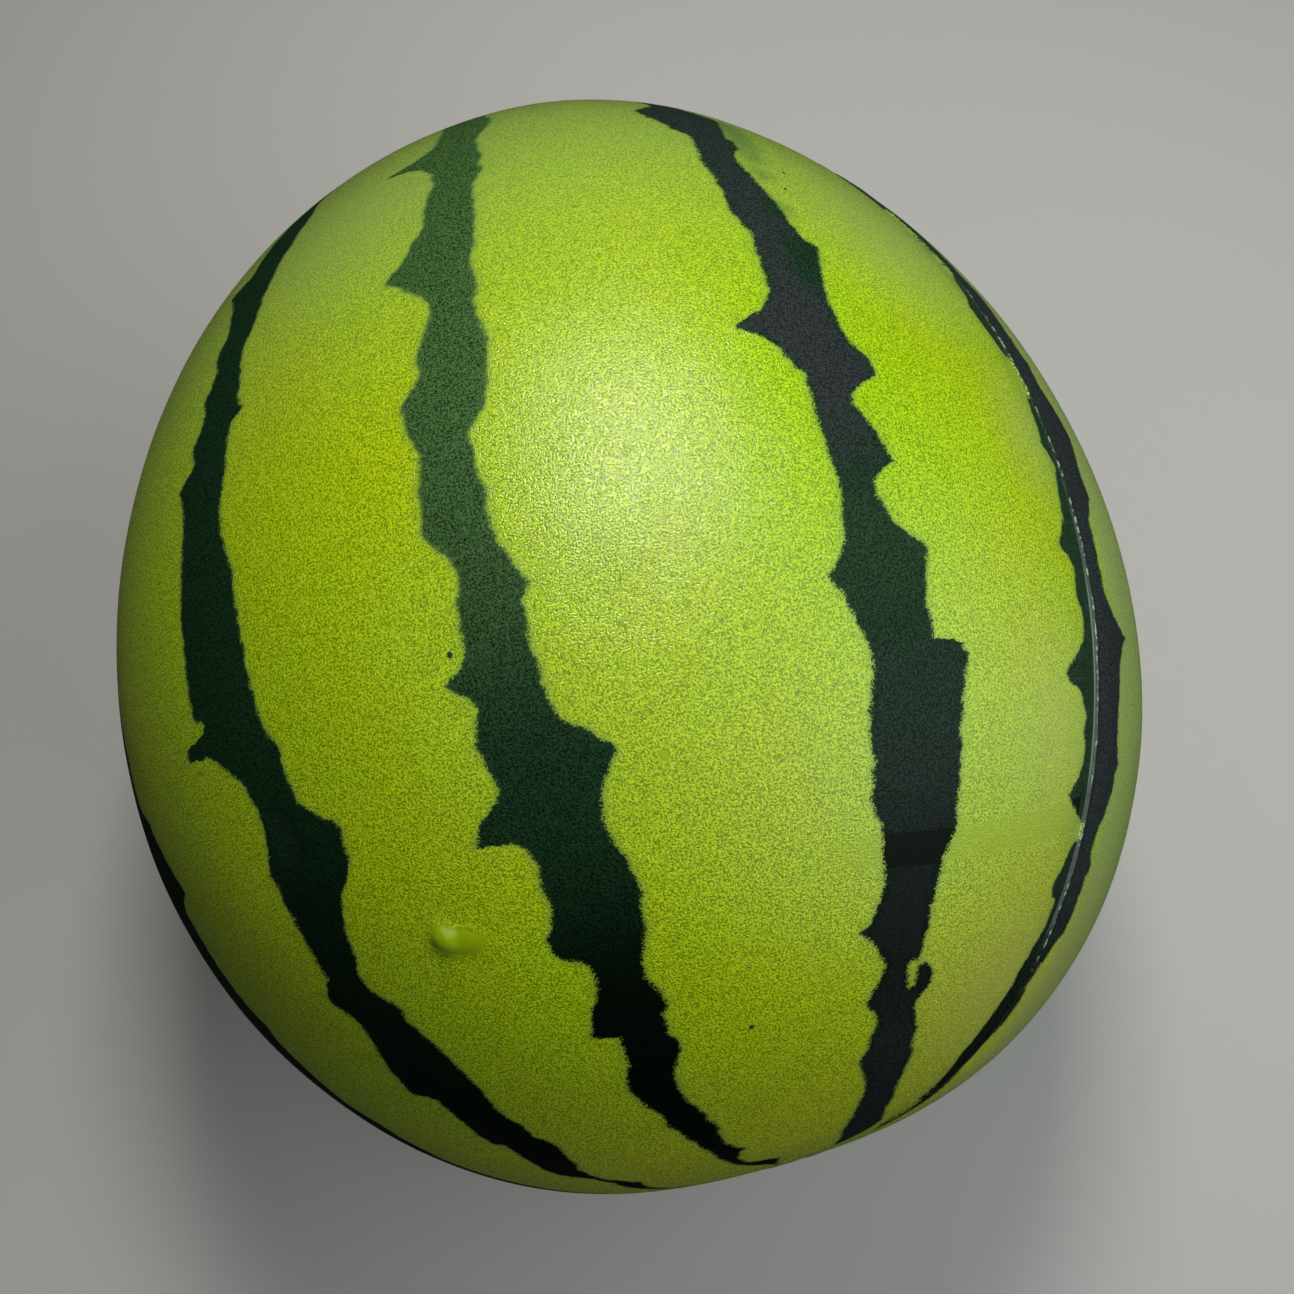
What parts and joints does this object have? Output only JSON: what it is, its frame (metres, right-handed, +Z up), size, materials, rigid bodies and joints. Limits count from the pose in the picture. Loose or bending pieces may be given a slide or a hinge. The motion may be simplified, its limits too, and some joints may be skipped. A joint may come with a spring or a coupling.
{
  "type": "imitation watermelon",
  "caption": "Whole imitation watermelon with a moulded parting line and sprayed dark stripes, lying on its side on a small flat spot.",
  "frame": {"origin": "bottom centre of the body's box, level with the flat spot that it rests on", "axes": "+Z up, +Y along the melon's long axis towards its narrow stem end, +X to the right when seen from the blossom end"},
  "size_m": [0.2306, 0.2516, 0.2288],
  "materials": {
    "skin": "satin moulded skin with a fine pebbled grain, lime green, with jagged dark green stripes sprayed from end to end"
  },
  "bodies": {
    "root": {"watermelon": "skin"}
  },
  "joints": []
}
